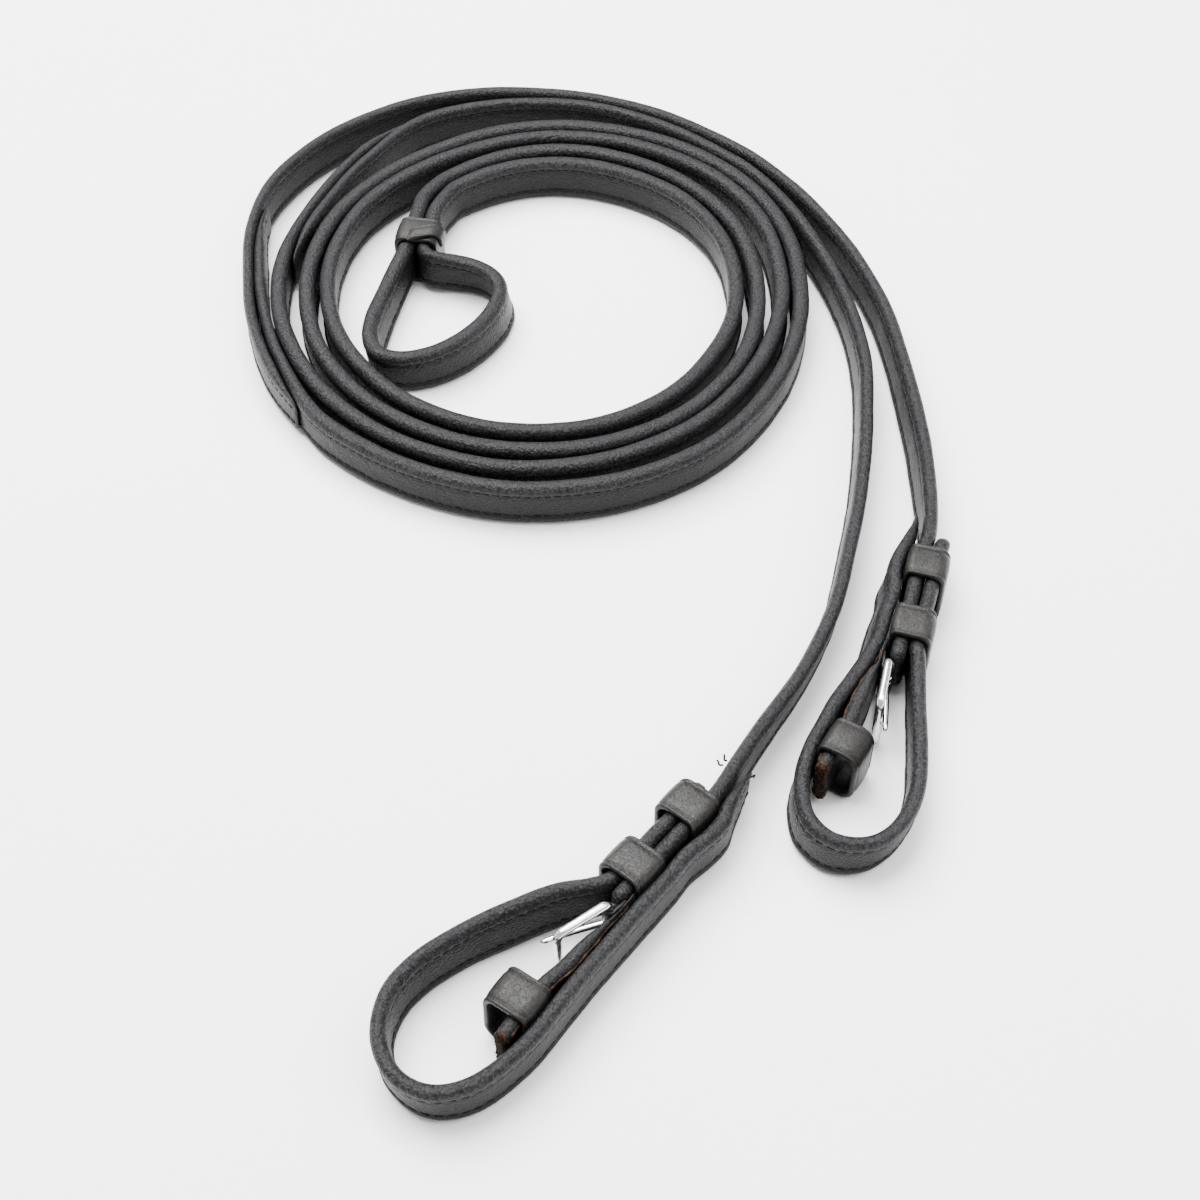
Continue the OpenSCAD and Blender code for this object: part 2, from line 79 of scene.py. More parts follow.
RIGHT_LOOP += [p + (BIT_T, 1) for p in [
    (86.74, 4.39, 1.2, 1.02), (83.3, -1.55, 1.2, 2.72), (81.64, -8.42, 1.2, 3.4), (78.45, -16.56, 1.2, 3.4),
    (76.05, -24.36, 1.2, 3.4), (73.5, -31.32, 1.2, 2.72), (69.77, -38.99, 1.2, 1.7), (64.65, -48.41, 1.2, 0.68),
    (61.6, -55.8, 1, 0), (57.5, -62.7, 0.6, 0.3), (53.9, -70.5, 0.2, 1), (52.5, -79, 0, 1.4),
    (54.1, -86.9, 0, 1), (59, -92.6, 0, 0.4), (65.5, -94.3, 0, -0.6), (72.6, -92, 0, -1.8),
    (79, -85.4, 0, -2.2), (84, -75.5, 0, -1.4), (86.4, -61, 0, -0.8), (87.9, -45.4, 0.4, -0.6),
    (89.1, -34.4, 1.2, -0.2), (89.5, -28.9, 1.75, 0), (92.5, -18.3, 1.75, 0), (94.2, -12.7, 1.75, 0),
    (95.7, -7.2, 1.75, 0), (98.95, 3.9, 1.75, 0)]]
RIGHT_LOOP += [(100.9, 8.9, 1.75, 0, BIT_T, 0.95), (102.2, 12.6, 1.75, 0, 2.6, 0.5)]
LEFT_LOOP = [(40.4, -71, 1.2, 0, 1, 0.55), (37, -78, 1.2, 0, 2.4, 0.85), (34.3, -83.3, 1.2, 0, 3.7, 1)]
LEFT_LOOP += [p + (BIT_T, 1) for p in [
    (32.04, -88.75, 1.2, 0), (28.3, -93.31, 1.2, 0), (22.46, -98.77, 1.2, 0), (17.87, -105.42, 1.2, 0),
    (12.91, -111.65, 1.2, 0), (6.71, -119.55, 1.2, 0), (0.59, -127.36, 1.2, 0), (-5.4, -135.4, 1.2, 0),
    (-10.2, -142.1, 1.2, 0), (-16.7, -150.9, 0.8, 0), (-24.2, -158.2, 0.3, 0.4),
    (-31.6, -162.9, 0, 0.6), (-39.8, -164.1, 0, 1.1), (-46.8, -160.7, 0, 1.7),
    (-51.4, -154.8, 0, 1.4), (-53.2, -147, 0, 1.2), (-50.7, -137.6, 0, 1.5), (-43.8, -129.2, 0, 1.8),
    (-33.2, -121.7, 0, 2), (-21.8, -115.9, 0.2, 2), (-10.8, -111, 0.9, 1.6), (-2.6, -108.8, 1.5, 0.6),
    (3.57, -105.92, 1.75, 0), (10.8, -97.1, 1.75, 0), (14.2, -92.6, 1.75, 0), (18, -88.3, 1.75, 0),
    (25.2, -79.5, 1.75, 0)]]
LEFT_LOOP += [(26.13, -77.88, 1.75, 0, BIT_T, 0.95), (28.03, -75.58, 1.75, 0, 2.6, 0.5)]
SLIDER_AT, SLIDER_DIR = (-61.4, 148), math.radians(81.5)


def in_slider(u, m):
    c, s = math.cos(SLIDER_DIR), math.sin(SLIDER_DIR)
    return (SLIDER_AT[0] + u * c - m * 2.85 * s, SLIDER_AT[1] + u * s + m * 2.85 * c, LIFT, 0)


RIGHT_LEAD = [(-57.5, 176.6, 0.5, 0), (-61, 169.4, 1.2, 0), in_slider(14.5, 1), in_slider(8, 1), in_slider(0.2, 1)]
LEFT_LEAD = [(-53.4, 170.2, 1.1, 0), in_slider(14.5, -1), in_slider(8, -1), in_slider(0.2, -1)]
HAND_LOOP = [p + (HAND_T, 1) for p in [
    in_slider(-0.2, 1), in_slider(-5.6, 1), (-66.6, 136.5, 1.3, -0.4), (-68.4, 129.8, 0.7, -0.8),
    (-70.8, 119.5, 0.1, -1.3), (-72.5, 109.5, 0, -1.9), (-73.2, 101, 0, -1.8), (-71.4, 94.2, 0, -1.2),
    (-66.4, 90.9, 0, -0.6), (-60, 90.7, 0, -0.2), (-52.3, 93, 0, 0.3), (-44.7, 98.1, 0, 0.8),
    (-37.8, 105.5, 0, 1.3), (-33.1, 113.3, 0, 1.8), (-30.9, 121.3, 0, 2.6), (-31.9, 128.8, 0, 3.2),
    (-36, 134.6, 0, 3.4), (-42, 138, 0, 3.2), (-48.2, 139, 0.2, 2.4)]] + [p + (4.7, 1) for p in [
        (-53.8, 138.6, 0.8, 1), (-57.4, 138.9, 1.4, 0.2), (-59.3, 141.4, 1.75, 0),
        in_slider(-3.5, -1), in_slider(-0.2, -1)]]
ENDS = {"right": (88.6, -23.4, math.radians(-105.8), 1), "left": (8.9, -103.2, math.radians(-129.3), -1)}
BARS = {"right": (15.5, -4.2, 2, 9.8), "left": (13.9, -3, 15, 31)}
THIRD = {"right": (45.6, -10.2, -15), "left": (47.6, -1.8, -5)}
STRIPS = {
    "right": [(7, -5.9, 0.8), (11, -6.55, 0.8), (15.5, -6.8, 0.9), (20, -8.1, 2.8), (26, -9.1, 4),
              (32, -10.1, 4.2), (37, -10.6, 4.2), (40.9, -11.4, 4.2), (44.8, -12.4, 4.2),
              (50.5, -13.9, 4.2), (54.6, -14.8, 3.8)],
    "left": [(7, -5.35, 0.8), (11, -5.6, 0.8), (13.9, -5.65, 0.8), (19, -5.1, 2), (26, -4.7, 3.8),
             (34, -4.6, 4.2), (39.3, -3.9, 4.2), (43.3, -3.85, 4.2), (47.3, -4.15, 4.2), (53.3, -4.6, 4.2),
             (58.3, -5.1, 3.8)]}


def ease(x):
    x = min(1, max(0, x))
    return x * x * (3 - 2 * x)


def along(p, t):
    n = len(p) - 1
    i = min(int(math.floor(t)), n - 1)
    f = t - i
    b, c = p[i], p[i + 1]
    a = p[i - 1] if i > 0 else 2 * b - c
    d = p[i + 2] if i + 2 <= n else 2 * c - b
    return 0.5 * (2 * b + (c - a) * f + (2 * a - 5 * b + 4 * c - d) * f * f + (3 * b - a - 3 * c + d) * f ** 3)


def run(p, n, a=0):
    p = [np.asarray(q, float) for q in p]
    return [along(p, k / n) for k in range(a * n, (len(p) - 1) * n + 1)]


def coil_at(a, side, part):
    radii = [np.asarray([r]) for r in (RIGHT_R if side == "right" else LEFT_R)]
    tip_out, tip_in = TIPS[side]
    outer = (part == "bit") == (side == "right")
    t_out, t_in = (BIT_T, HAND_T) if side == "right" else (HAND_T, BIT_T)
    edge = along(radii, (a - 60) / 30)[0] + 2.5
    s = 1 if tip_out > tip_in else -1
    so = ease((s * (tip_out - a) + 8) / 22)
    si = ease((s * (a - tip_in) + 8) / 22)
    sharp, blunt = ease(s * (a - tip_in) / 14), ease(s * (tip_out - a) / 14)
    to = ((t_out + LAP_GAP) * (1 - si) + (LAP_T + LAP_GAP) * si) * so - LAP_GAP
    ti = t_in * (1 - so) + LAP_T * so
    t = max(to, 1) if outer else ti * (0.27 + 0.73 * sharp)
    c = edge - t / 2 if outer else edge - max(to + LAP_GAP, 0) - t / 2
    w = 0.75 + 0.25 * (blunt if outer else sharp)
    return np.array([HUB[0] + c * math.cos(math.radians(a)), HUB[1] + c * math.sin(math.radians(a)), 0, 0, t, w])


def coil(side, part, a0, a1, tail, thick):
    """Coil from angle a0 to a1, then through the tail points."""
    s = 1 if a1 > a0 else -1
    n = int(abs(a1 - a0))
    body = [coil_at(a0 + s * k * abs(a1 - a0) / n, side, part) for k in range(n)]
    lead = [coil_at(a1 - s * 15, side, part), coil_at(a1, side, part)]
    return body + run(lead + [np.array(tuple(p) + (thick, 1.0)) for p in tail], 12, 1)


ROUTES = {
    "right_hand_strap": coil("right", "hand", 157.5, 840, RIGHT_LEAD, HAND_T),
    "left_hand_strap": coil("left", "hand", 120, 840, LEFT_LEAD, HAND_T),
    "right_bit_strap": coil("right", "bit", 217.5, 60, RIGHT_TAIL, BIT_T),
    "left_bit_strap": coil("left", "bit", 172.5, 60, LEFT_TAIL, BIT_T),
    "right_bit_loop": run(RIGHT_LOOP, 7),
    "left_bit_loop": run(LEFT_LOOP, 7),
    "hand_loop": run(HAND_LOOP, 6),
}


def resample(r, step):
    r = np.array(r)
    d = np.linalg.norm(np.diff(r[:, :2], axis=0), axis=1)
    s = np.concatenate([[0], np.cumsum(d)])
    n = 2 * max(2, int(round(s[-1] / step / 2)))
    q = np.linspace(0, s[-1], n + 1)
    return q, np.stack([np.interp(q, s, r[:, k]) for k in range(r.shape[1])], 1)


def frames(r):
    t = np.gradient(r[:, :2], axis=0)
    t /= np.linalg.norm(t, axis=1)[:, None]
    return t, np.stack([-t[:, 1], t[:, 0]], 1)


def lumps(q, sizes, seed):
    """Slow seeded waver along a length, in mm."""
    g = np.random.default_rng(seed)
    out = np.zeros_like(q)
    for wave, amp in sizes:
        out += amp * np.sin(q / wave * 2 * math.pi * g.uniform(0.8, 1.2) + g.uniform(0, 6.28))
    return out


# ---------------------------------------------------------------- mesh helpers
def obj_from(name, verts, faces, mat, body="reins", attrs=None):
    me = bpy.data.meshes.new(name)
    me.from_pydata([tuple(v) for v in verts], [], [tuple(f) for f in faces])
    me.validate()
    me.polygons.foreach_set("use_smooth", [True] * len(me.polygons))
    for key, vals in (attrs or {}).items():
        at = me.attributes.new(key, "FLOAT", "POINT")
        at.data.foreach_set("value", np.asarray(vals, float))
    me.materials.append(mat)
    o = bpy.data.objects.new(name, me)
    scene.collection.objects.link(o)
    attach(o, body)
    return o


def grid_faces(n, m, closed=True):
    """Quads of n rings of m points."""
    i = np.arange(n - 1)[:, None] * m
    k = np.arange(m if closed else m - 1)[None, :]
    k2 = (k + 1) % m
    return np.stack([i + k, i + k2, i + m + k2, i + m + k], -1).reshape(-1, 4).tolist()


def end_caps(n, m):
    """One polygon on the first and one on the last of n rings of m points."""
    return [list(range(m - 1, -1, -1)), [(n - 1) * m + k for k in range(m)]]


def ring_join(n, m):
    """Quads from the last ring back to the first."""
    return [[(n - 1) * m + k, (n - 1) * m + (k + 1) % m, (k + 1) % m, k] for k in range(m)]


def shifted(faces, off):
    return [[i + off for i in f] for f in faces]


def flip_faces(faces):
    return [list(reversed(f)) for f in faces]


def to_world(p):
    p = np.array(p, float)
    p[:, 0] += SHIFT[0]
    p[:, 1] += SHIFT[1]
    return p * MM


def end_to_part(side, p):
    """Bit end frame (x along the strap, y to the loose strap, z up) to part mm."""
    kx, ky, a, m = ENDS[side]
    p = np.array(p, float)
    x, y = p[:, 0].copy(), p[:, 1] * m
    p[:, 0] = kx + x * math.cos(a) - y * math.sin(a)
    p[:, 1] = ky + x * math.sin(a) + y * math.cos(a)
    return p


# ---------------------------------------------------------------- materials
def new_mat(name):
    m = bpy.data.materials.new(name)
    m.use_nodes = True
    nt = m.node_tree
    for n in list(nt.nodes):
        nt.nodes.remove(n)
    out = nt.nodes.new("ShaderNodeOutputMaterial")
    bsdf = nt.nodes.new("ShaderNodeBsdfPrincipled")
    nt.links.new(bsdf.outputs[0], out.inputs[0])
    return m, nt, bsdf


def node(nt, kind, **kw):
    n = nt.nodes.new(kind)
    for k, v in kw.items():
        if k in n.inputs:
            n.inputs[k].default_value = v
        else:
            setattr(n, k, v)
    return n


def ramp(nt, src, stops):
    r = nt.nodes.new("ShaderNodeValToRGB")
    el = r.color_ramp.elements
    while len(el) > 2:
        el.remove(el[-1])
    for k, (pos, col) in enumerate(stops):
        e = el[k] if k < 2 else el.new(pos)
        e.position = pos
        e.color = tuple(col) + (1,) if len(col) == 3 else col
    nt.links.new(src, r.inputs[0])
    return r.outputs[0]


def leather(name, dark, light, edge, rough, spec, grain, depth, wrinkle):
    """Grained leather. The "bead" attribute marks rolled edges, painted paler toward the edge colour: partly wear,
    partly painted highlight where the light catches them.
    """
    m, nt, bsdf = new_mat(name)
    obj = node(nt, "ShaderNodeTexCoord").outputs["Object"]
    big = node(nt, "ShaderNodeTexNoise", Scale=55.0, Detail=4.0, Roughness=0.6)
    mid = node(nt, "ShaderNodeTexNoise", Scale=420.0, Detail=4.0, Roughness=0.65)
    small = node(nt, "ShaderNodeTexNoise", Scale=2200.0, Detail=2.0, Roughness=0.6)
    cell = node(nt, "ShaderNodeTexVoronoi", Scale=grain, feature="SMOOTH_F1", Smoothness=0.5)
    crease = node(nt, "ShaderNodeTexVoronoi", Scale=grain * 0.3, feature="DISTANCE_TO_EDGE")
    warp = node(nt, "ShaderNodeVectorMath", operation="MULTIPLY_ADD")
    warp.inputs[1].default_value = (0.0022, 0.0022, 0.0022)
    nt.links.new(mid.outputs["Color"], warp.inputs[0])
    nt.links.new(obj, warp.inputs[2])
    for t in (big, mid, small):
        nt.links.new(obj, t.inputs["Vector"])
    for t in (cell, crease):
        nt.links.new(warp.outputs[0], t.inputs["Vector"])
    drift = ramp(nt, big.outputs["Fac"], [(0.3, dark), (0.7, light)])
    speck = ramp(nt, small.outputs["Fac"], [(0.42, (0.6,) * 3), (0.66, (2.0,) * 3)])
    mul = node(nt, "ShaderNodeMix", data_type="RGBA", blend_type="MULTIPLY")
    mul.inputs[0].default_value = 1.0
    nt.links.new(drift, mul.inputs[6])
    nt.links.new(speck, mul.inputs[7])
    bead = node(nt, "ShaderNodeAttribute", attribute_name="bead").outputs["Fac"]
    patch = ramp(nt, mid.outputs["Fac"], [(0.3, (0.6,) * 3), (0.7, (1,) * 3)])
    pebble = ramp(nt, cell.outputs["Distance"], [(0.1, (1.5,) * 3), (0.6, (0.12,) * 3)])
    # painted highlight: the bead mask, broken up by patches and grain cells, pales the rolled edges toward the edge
    # colour, partly wear and partly painted highlight
    wear_and_highlight = node(nt, "ShaderNodeMath", operation="MULTIPLY")
    nt.links.new(bead, wear_and_highlight.inputs[0])
    nt.links.new(patch, wear_and_highlight.inputs[1])
    grained_wear_and_highlight = node(nt, "ShaderNodeMath", operation="MULTIPLY")
    nt.links.new(wear_and_highlight.outputs[0], grained_wear_and_highlight.inputs[0])
    nt.links.new(pebble, grained_wear_and_highlight.inputs[1])
    mix = node(nt, "ShaderNodeMix", data_type="RGBA")
    nt.links.new(grained_wear_and_highlight.outputs[0], mix.inputs[0])
    nt.links.new(mul.outputs[2], mix.inputs[6])
    mix.inputs[7].default_value = tuple(edge) + (1,)
    nt.links.new(mix.outputs[2], bsdf.inputs["Base Color"])
    nt.links.new(ramp(nt, big.outputs["Fac"], [(0.3, (rough - 0.05,) * 3), (0.72, (rough + 0.08,) * 3)]),
                 bsdf.inputs["Roughness"])
    bsdf.inputs["Specular IOR Level"].default_value = spec
    normal = None
    folds = ramp(nt, crease.outputs["Distance"], [(0.0, (0,) * 3), (0.08, (1,) * 3)])
    # bump layers: height, strength, distance in metres, inverted
    heights = ((cell.outputs["Distance"], depth, 0.0003, True), (folds, wrinkle, 0.00022, False),
               (mid.outputs["Fac"], wrinkle, 0.0004, False), (small.outputs["Fac"], 0.4, 0.00012, False))
    for h, k, dist, inv in heights:
        b = node(nt, "ShaderNodeBump", Strength=k, Distance=dist, invert=inv)
        nt.links.new(h, b.inputs["Height"])
        if normal:
            nt.links.new(normal, b.inputs["Normal"])
        normal = b.outputs[0]
    nt.links.new(normal, bsdf.inputs["Normal"])
    return m


# the strap's edge colour is the pale colour of its rolled edges, partly wear and partly painted highlight
MAT_STRAP = leather("strap_leather", dark=(0.003, 0.003, 0.0033), light=(0.0062, 0.0062, 0.0068),
                    edge=(0.019, 0.019, 0.0202), rough=0.44, spec=0.14, grain=1350.0, depth=1.0, wrinkle=0.2)
MAT_KEEPER = leather("keeper_leather", dark=(0.007, 0.0066, 0.0062), light=(0.013, 0.0122, 0.0115),
                     edge=(0.03, 0.0285, 0.027), rough=0.4, spec=0.2, grain=2100.0, depth=0.25, wrinkle=0.3)
MAT_RAW = leather("raw_leather", dark=(0.008, 0.005, 0.0035), light=(0.02, 0.013, 0.009),
                  edge=(0.10, 0.05, 0.026), rough=0.7, spec=0.05, grain=1300.0, depth=0.8, wrinkle=0.6)


def thread_mat():
    m, nt, bsdf = new_mat("waxed_thread")
    tc = node(nt, "ShaderNodeTexCoord")
    n = node(nt, "ShaderNodeTexNoise", Scale=900.0, Detail=2.0)
    w = node(nt, "ShaderNodeTexWave", Scale=1400.0, Distortion=1.0)
    nt.links.new(tc.outputs["Object"], n.inputs["Vector"])
    nt.links.new(tc.outputs["Object"], w.inputs["Vector"])
    nt.links.new(ramp(nt, n.outputs["Fac"], [(0.3, (0.003,) * 3), (0.7, (0.012,) * 3)]),
                 bsdf.inputs["Base Color"])
    bsdf.inputs["Roughness"].default_value = 0.5
    bsdf.inputs["Specular IOR Level"].default_value = 0.12
    b = node(nt, "ShaderNodeBump", Strength=0.5, Distance=0.0001)
    nt.links.new(w.outputs["Fac"], b.inputs["Height"])
    nt.links.new(b.outputs[0], bsdf.inputs["Normal"])
    return m


MAT_THREAD = thread_mat()


def metal_mat():
    m, nt, bsdf = new_mat("polished_buckle")
    tc = node(nt, "ShaderNodeTexCoord")
    n = node(nt, "ShaderNodeTexNoise", Scale=700.0, Detail=4.0)
    s = node(nt, "ShaderNodeTexNoise", Scale=5000.0, Detail=2.0)
    nt.links.new(tc.outputs["Object"], n.inputs["Vector"])
    nt.links.new(tc.outputs["Object"], s.inputs["Vector"])
    bsdf.inputs["Metallic"].default_value = 1.0
    nt.links.new(ramp(nt, n.outputs["Fac"], [(0.35, (0.74, 0.74, 0.75)), (0.65, (0.88, 0.88, 0.89))]),
                 bsdf.inputs["Base Color"])
    nt.links.new(ramp(nt, n.outputs["Fac"], [(0.3, (0.12,) * 3), (0.7, (0.26,) * 3)]), bsdf.inputs["Roughness"])
    b = node(nt, "ShaderNodeBump", Strength=0.12, Distance=0.00005)
    nt.links.new(s.outputs["Fac"], b.inputs["Height"])
    nt.links.new(b.outputs[0], bsdf.inputs["Normal"])
    return m


MAT_METAL = metal_mat()

# ---------------------------------------------------------------- straps
def strap_section():
    """Closed section of (share of half thickness, height 0..1): rolled edges, a groove inside each, a flat band."""
    pts = []
    bead = 0.165

    def half(v):
        """Half thickness share at height share v from the foot."""
        e = min(v, 1 - v)
        if e < bead:
            return math.sqrt(max(0.0, 1 - ((bead - e) / bead) ** 2)) ** 0.8
        if e < 0.235:
            k = ease((e - bead) / 0.05)
            return 1 - 0.2 * k
        return 0.8 + 0.09 * ease((e - 0.235) / 0.09)
    vs = [0.0, 0.006, 0.022, 0.048, 0.085, 0.125, 0.165, 0.19, 0.21, 0.228, 0.245, 0.27, 0.31, 0.38, 0.5]
    vs = vs + [1 - v for v in reversed(vs[:-1])]
    for v in vs:
        pts.append((half(v), v))
    right = pts
    left = [(-a, v) for a, v in reversed(pts[1:-1])]
    return right + left


SECTION = strap_section()
FOOT_TO_MID = SECTION[:15]
STRAP_STEP = 1.5
CUT_ROUND = 2.2
STITCH_ROWS, STITCH_PITCH, STITCH_LEN, STITCH_RAD = (0.222, 0.778), 3.0, 2.3, 0.34


def half_at(v):
    e = min(v, 1 - v)
    return np.interp(e, [p[1] for p in FOOT_TO_MID], [p[0] for p in FOOT_TO_MID])


def strap(name, seed, taper_start, taper_end):
    q, r = resample(ROUTES[name], STRAP_STEP)
    t, n = frames(r)
    r[:, 3] += lumps(q, [(70, 0.12), (29, 0.08)], seed)
    th = r[:, 4] * (1 + 0.012 * lumps(q, [(17, 1.0), (43, 1.0)], seed + 1))
    hs = r[:, 5].copy()
    # soften the two cut ends
    for k, d in enumerate(q):
        for on, e in ((taper_start, d), (taper_end, q[-1] - d)):
            if on and e < CUT_ROUND:
                f = math.sqrt(max(0.02, 1 - (1 - e / CUT_ROUND) ** 2))
                th[k] *= 0.35 + 0.65 * f
                hs[k] *= 0.72 + 0.28 * f
    verts, bead = [], []
    m = len(SECTION)
    wob = lumps(q, [(11, 0.05), (5.3, 0.03)], seed + 2)
    for i in range(len(q)):
        h = H * hs[i]
        z0 = r[i, 2] + (H - h) / 2
        for a, v in SECTION:
            o = a * th[i] / 2 + r[i, 3] * v + wob[i] * math.sin(v * 7)
            verts.append((r[i, 0] + n[i, 0] * o, r[i, 1] + n[i, 1] * o, z0 + v * h))
            # bead mask: both rolled edges are painted paler, the top edge most, partly wear and partly painted
            # highlight from the overhead light
            bead.append(ease((max(v, 1 - v) - 0.745) / 0.1) * (0.75 + 0.25 * ease((v - 0.5) / 0.4)))
    faces = grid_faces(len(q), m) + end_caps(len(q), m)
    o = obj_from(name + "_skin", to_world(verts), faces, MAT_STRAP, attrs={"bead": bead})
    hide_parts(name)
    path = to_world(np.stack([r[:, 0] + n[:, 0] * r[:, 3] / 2, r[:, 1] + n[:, 1] * r[:, 3] / 2,
                              r[:, 2] + H / 2], 1))
    return o, path, (q, r, t, th, hs)


def capsule(ln, rad, m=6):
    pts = []
    prof = [(-ln / 2, 0.12), (-ln / 2 + rad * 0.35, 0.75), (-ln / 2 + rad * 1.1, 1.0), (ln / 2 - rad * 1.1, 1.0),
            (ln / 2 - rad * 0.35, 0.75), (ln / 2, 0.12)]
    for x, f in prof:
        for k in range(m):
            a = 2 * math.pi * k / m
            pts.append((x, rad * f * math.cos(a), rad * f * math.sin(a)))
    return np.array(pts), grid_faces(len(prof), m) + end_caps(len(prof), m)


def stitches(name, data):
    """Two rows of slanted stitches on both faces of a strap."""
    q, r, t, th, hs = data
    base, bf = capsule(STITCH_LEN, STITCH_RAD)
    V, F = [], []
    g = np.random.default_rng(len(name))
    s = 3.0
    while s < q[-1] - 2.5:
        rr = [np.interp(s, q, r[:, k]) for k in range(6)]
        tt = np.array([np.interp(s, q, t[:, 0]), np.interp(s, q, t[:, 1]), 0])
        tt /= np.linalg.norm(tt)
        nn = np.array([-tt[1], tt[0], 0])
        thk, h = np.interp(s, q, th), H * np.interp(s, q, hs)
        if thk > 1.3:
            for v in STITCH_ROWS:
                for sd in (1, -1):
                    a = sd * (half_at(v) * thk / 2 + 0.02) + rr[3] * v
                    c = np.array([rr[0], rr[1], rr[2] + (H - h) / 2 + v * h]) + nn * a
                    tilt = 0.16 + g.uniform(-0.05, 0.05)
                    up = np.array([0, 0, 1.0])
                    d = tt * math.cos(tilt) + up * math.sin(tilt) * sd
                    w = np.cross(nn, d)
                    k = 1 + g.uniform(-0.06, 0.06)
                    P = c + base[:, :1] * k * d + base[:, 1:2] * nn + base[:, 2:] * w
                    off = len(V) * len(base)
                    V.append(P)
                    F.extend(shifted(bf, off))
        s += STITCH_PITCH * (1 + g.uniform(-0.03, 0.03))
    return obj_from(name + "_stitches", to_world(np.concatenate(V)), F, MAT_THREAD)


# strap, and whether its first and its last end are cut (the others run into the hand loop)
STRAPS = [("right_hand_strap", True, False), ("left_hand_strap", True, False), ("right_bit_strap", True, True),
          ("left_bit_strap", True, True), ("right_bit_loop", True, True), ("left_bit_loop", True, True),
          ("hand_loop", False, False)]
for i, (nm, ts, te) in enumerate(STRAPS):
    o, path, data = strap(nm, 20 + 7 * i, ts, te)
    st = stitches(nm, data)


# ---------------------------------------------------------------- keepers and slider
def rounded_loop(y0, y1, z0, z1, radii, per=10):
    """Closed loop of points, starting at the right of the bottom side; radii for BR, TR, TL, BL."""
    pts = []
    for (cx, cz, a0), r in zip(((y1, z0, -90), (y1, z1, 0), (y0, z1, 90), (y0, z0, 180)), radii):
        ox = cx - r if cx == y1 else cx + r
        oz = cz + r if cz == z0 else cz - r
        for k in range(per + 1):
            a = math.radians(a0 + 90 * k / per)
            pts.append((ox + r * math.cos(a), oz + r * math.sin(a)))
    return np.array(pts)


def subdivide(loop, inner, n=5):
    """Adds points along the straight sides of both loops."""
    A, B = [], []
    m = len(loop)
    for i in range(m):
        j = (i + 1) % m
        gap = np.linalg.norm(loop[j] - loop[i])
        k = n if gap > 2.5 else 1
        for s in range(k):
            A.append(loop[i] + (loop[j] - loop[i]) * s / k)
            B.append(inner[i] + (inner[j] - inner[i]) * s / k)
    return np.array(A), np.array(B)


def band_mesh(length, y0, y1, z0, z1, wall, thin, r_out, seed, bulge):
    """Leather band round a y, z opening, with a creased line inside each edge and a domed outer face."""
    crease = 0.16
    out = rounded_loop(y0 - thin, y1 + wall, z0 - wall, z1 + wall, r_out)
    inn = rounded_loop(y0, y1, z0, z1, [max(0.5, r - 1.2) for r in r_out])
    out, inn = subdivide(out, inn)
    g = np.random.default_rng(seed)
    L = length / 2
    prof = [(-L + 0.18, 0.0), (-L + 0.02, 0.25), (-L, 0.6), (-L + 0.15, 0.9), (-L + 0.5, 1.0), (-L + 0.95, 1.02),
            (-L + 1.2, 1 - crease), (-L + 1.32, 1 - crease), (-L + 1.6, 1.02)]
    prof = prof + [(-L * 0.5, 1 + bulge * 0.75), (0, 1 + bulge), (L * 0.5, 1 + bulge * 0.75)]
    prof = prof + [(-x, f) for x, f in reversed(prof[:9])] + [(L * 0.4, 0.0), (-L * 0.4, 0.0)]
    m, verts = len(prof), []
    n = len(out)
    ph = g.uniform(0, 6.28, 4)
    for i in range(n):
        u = i / n * 2 * math.pi
        dx = 0.16 * math.sin(2 * u + ph[0]) + 0.1 * math.sin(3 * u + ph[1])
        for x, f in prof:
            p = inn[i] + (out[i] - inn[i]) * (f if f <= 1 else 1)
            if f > 1:
                d = out[i] - inn[i]
                d = d / np.linalg.norm(d)
                p = out[i] + d * (f - 1) * (0.7 + 0.3 * math.sin(3 * u + ph[2]))
            edge = abs(x) / L
            verts.append((x + dx * (0.4 + 0.6 * edge), p[0], p[1]))
    return np.array(verts), grid_faces(n, m) + ring_join(n, m)


def turn(p, deg):
    a = math.radians(deg)
    q = np.array(p, float)
    q[:, 0] = p[:, 0] * math.cos(a) - p[:, 1] * math.sin(a)
    q[:, 1] = p[:, 0] * math.sin(a) + p[:, 1] * math.cos(a)
    return q


KEEPER_LEN, KEEPER_WALL, KEEPER_THIN = 11.5, 1.4, 0.95
KEEPER_RADII, END_KEEPER_RADII = (2.6, 3.6, 2.2, 1.2), (4.6, 5.0, 2.8, 1.6)
for side in ("right", "left"):
    for which, at, radii in (("upper", (-23.3, 0, 0), KEEPER_RADII), ("lower", (0, 0, 0), KEEPER_RADII),
                             ("end", THIRD[side], END_KEEPER_RADII)):
        v, f = band_mesh(KEEPER_LEN, -4.8, 4.8 if side == "right" else 6, LIFT - 0.2, LIFT + H + 0.6,
                         KEEPER_WALL, KEEPER_THIN, radii, 5 + len(which) + len(side), 0.4)
        v = turn(v, at[2])
        v[:, 0] += at[0]
        v[:, 1] += at[1]
        name = side + "_keeper_" + which
        o = obj_from(name + "_leather", to_world(end_to_part(side, v)), f if side == "left" else flip_faces(f),
                     MAT_KEEPER, attrs={"bead": [0.0] * len(v)})
        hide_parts(name)


def slider_to_part(p):
    q = turn(p, math.degrees(SLIDER_DIR))
    q[:, 0] += SLIDER_AT[0]
    q[:, 1] += SLIDER_AT[1]
    return q


SY = 2.85 + HAND_T / 2 + 0.2
SLIDER_WALL, SLIDER_PLAY, FOLD_GAP = 1.5, 0.15, 0.35
v, f = band_mesh(11.6, -SY, SY, LIFT - SLIDER_PLAY, LIFT + H + SLIDER_PLAY, SLIDER_WALL, SLIDER_WALL,
                 (2.4, 3.2, 3.2, 2.4), 31, 0.5)
o = obj_from("slider_band_leather", to_world(slider_to_part(v)), flip_faces(f), MAT_KEEPER,
             body="slider", attrs={"bead": [0.0] * len(v)})
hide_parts("slider_band")


